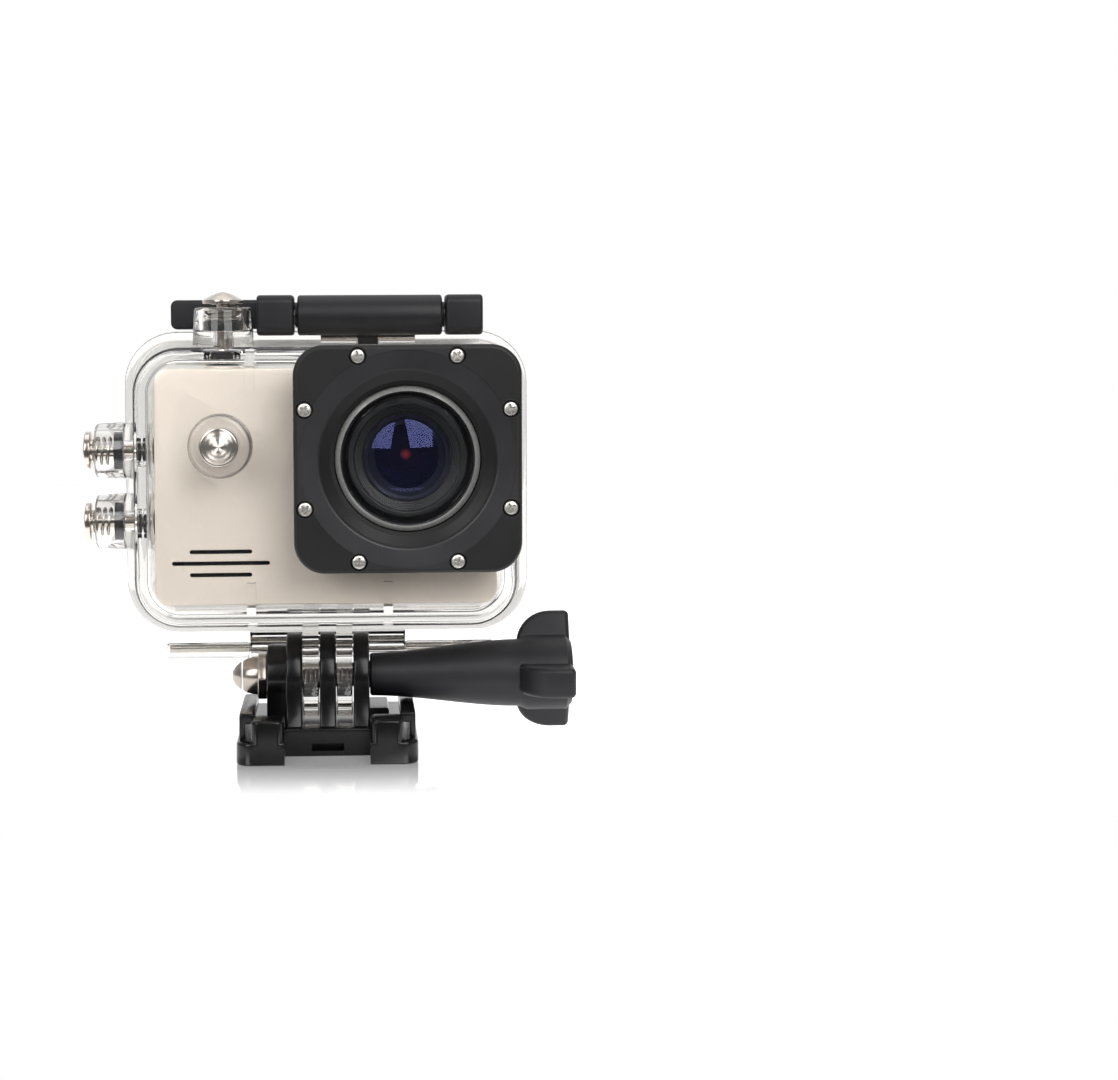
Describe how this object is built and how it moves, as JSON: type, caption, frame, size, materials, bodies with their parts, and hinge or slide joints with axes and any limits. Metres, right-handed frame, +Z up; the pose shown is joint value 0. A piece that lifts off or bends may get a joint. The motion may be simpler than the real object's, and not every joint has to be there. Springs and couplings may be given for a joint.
{
  "type": "action camera",
  "caption": "Small action camera in a clear waterproof housing with a latched rear door, push plungers and a tilting quick-release buckle mount.",
  "frame": {"origin": "on the buckle's flat underside, below the thumb screw's axis and midway between the outer prongs", "axes": "+Z up, +Y to the back (the lens looks along -Y), +X to the thumb knob's side"},
  "size_m": [0.0864, 0.0419, 0.0805],
  "materials": {
    "champagne_shell": "fine metallic satin paint",
    "clear_polycarbonate": "clear polished polycarbonate",
    "port_glass": "polished flat glass",
    "lens_glass": "coated lens glass, blue to violet",
    "black_plastic": "satin moulded black",
    "gloss_black_plastic": "polished moulded black",
    "stainless_steel": "turned and polished",
    "black_rubber": "matte",
    "clear_silicone": "soft translucent",
    "circuit_board": "solder mask",
    "battery_wrap": "plastic wrap",
    "display_panel": "dark glossy panel"
  },
  "bodies": {
    "mount": {"buckle_body": "gloss_black_plastic", "acorn_nut": "stainless_steel"},
    "knob": {"clamp_bolt": "stainless_steel", "thumb_knob": "black_plastic"},
    "housing": {"housing_front_shell": "clear_polycarbonate", "lens_bezel": "black_plastic", "port_glass": "port_glass", "port_seal": "black_rubber", "bezel_screw_1": "stainless_steel", "bezel_screw_2": "stainless_steel", "bezel_screw_3": "stainless_steel", "bezel_screw_4": "stainless_steel", "bezel_screw_5": "stainless_steel", "bezel_screw_6": "stainless_steel", "bezel_screw_7": "stainless_steel", "bezel_screw_8": "stainless_steel", "door_hinge_pin": "stainless_steel", "latch_bar_pin": "stainless_steel", "front_plunger_seal": "black_rubber", "top_plunger_seal": "black_rubber", "upper_plunger_seal": "black_rubber", "lower_plunger_seal": "black_rubber", "front_plunger_spring": "stainless_steel", "top_plunger_spring": "stainless_steel", "upper_plunger_spring": "stainless_steel", "lower_plunger_spring": "stainless_steel", "camera_front_cover": "champagne_shell", "camera_rear_cover": "champagne_shell", "lens_ring": "black_plastic", "lens_barrel": "black_plastic", "front_lens": "lens_glass", "rear_lens": "lens_glass", "image_sensor": "display_panel", "main_board": "circuit_board", "battery": "battery_wrap", "memory_card": "black_plastic", "speaker": "stainless_steel", "lcd_screen": "display_panel", "screen_window": "port_glass", "battery_door": "champagne_shell"},
    "door": {"housing_rear_door": "clear_polycarbonate", "door_gasket": "clear_silicone"},
    "latch_bar": {"latch_bar": "black_plastic", "latch_lever_pin": "stainless_steel"},
    "latch": {"latch_lever": "black_plastic"},
    "front_plunger": {"front_plunger": "stainless_steel", "front_plunger_foot": "black_rubber"},
    "top_plunger": {"top_plunger": "stainless_steel", "top_plunger_foot": "black_rubber"},
    "upper_plunger": {"upper_plunger": "stainless_steel", "upper_plunger_foot": "black_rubber"},
    "lower_plunger": {"lower_plunger": "stainless_steel", "lower_plunger_foot": "black_rubber"},
    "mode_button": {"mode_button": "champagne_shell"},
    "shutter_button": {"shutter_button": "champagne_shell"},
    "up_key": {"up_key": "champagne_shell"},
    "down_key": {"down_key": "champagne_shell"}
  },
  "joints": [
    {"name": "housing_tilt", "type": "hinge", "parent": "mount", "child": "housing", "pos_m": [0, 0, 0.0125], "axis": [1, 0, 0], "range_deg": [-25, 50]},
    {"name": "screw_turn", "type": "hinge", "parent": "mount", "child": "knob", "pos_m": [0.02, 0, 0.0125], "axis": [1, 0, 0], "range_deg": [0, 990]},
    {"name": "latch_bar_rock", "type": "hinge", "parent": "housing", "child": "latch_bar", "pos_m": [0.00755, 0.0084, 0.0724], "axis": [1, 0, 0], "range_deg": [-11.1, 0]},
    {"name": "latch_lift", "type": "hinge", "parent": "latch_bar", "child": "latch", "pos_m": [0.0079, 0.005, 0.0764], "axis": [1, 0, 0], "range_deg": [0, 110]},
    {"name": "door_swing", "type": "hinge", "parent": "housing", "child": "door", "pos_m": [0, 0.017, 0.015], "axis": [-1, 0, 0], "range_deg": [0, 85.1]},
    {"name": "front_plunger_press", "type": "slide", "parent": "housing", "child": "front_plunger", "axis": [0, 1, 0], "range_m": [0, 0.0014], "stiffness_N_per_m": 300, "springref_m": -0.001, "deforming": ["front_plunger_spring"]},
    {"name": "mode_press", "type": "slide", "parent": "housing", "child": "mode_button", "axis": [0, 1, 0], "range_m": [0, 0.00085]},
    {"name": "top_plunger_press", "type": "slide", "parent": "housing", "child": "top_plunger", "axis": [0, 0, -1], "range_m": [0, 0.0014], "stiffness_N_per_m": 300, "springref_m": -0.001, "deforming": ["top_plunger_spring"]},
    {"name": "shutter_press", "type": "slide", "parent": "housing", "child": "shutter_button", "axis": [0, 0, -1], "range_m": [0, 0.00085]},
    {"name": "upper_plunger_press", "type": "slide", "parent": "housing", "child": "upper_plunger", "axis": [1, 0, 0], "range_m": [0, 0.0014], "stiffness_N_per_m": 300, "springref_m": -0.001, "deforming": ["upper_plunger_spring"]},
    {"name": "up_key_press", "type": "slide", "parent": "housing", "child": "up_key", "axis": [1, 0, 0], "range_m": [0, 0.00085]},
    {"name": "lower_plunger_press", "type": "slide", "parent": "housing", "child": "lower_plunger", "axis": [1, 0, 0], "range_m": [0, 0.0014], "stiffness_N_per_m": 300, "springref_m": -0.001, "deforming": ["lower_plunger_spring"]},
    {"name": "down_key_press", "type": "slide", "parent": "housing", "child": "down_key", "axis": [1, 0, 0], "range_m": [0, 0.00085]}
  ],
  "couplings": [
    {"joint": "latch_bar_rock", "follows": "latch_lift", "ratio": -0.1},
    {"joint": "door_swing", "follows": "latch_lift", "ratio": 0.7727},
    {"joint": "mode_press", "follows": "front_plunger_press", "ratio": 0.6},
    {"joint": "shutter_press", "follows": "top_plunger_press", "ratio": 0.6},
    {"joint": "up_key_press", "follows": "upper_plunger_press", "ratio": 0.6},
    {"joint": "down_key_press", "follows": "lower_plunger_press", "ratio": 0.6}
  ]
}
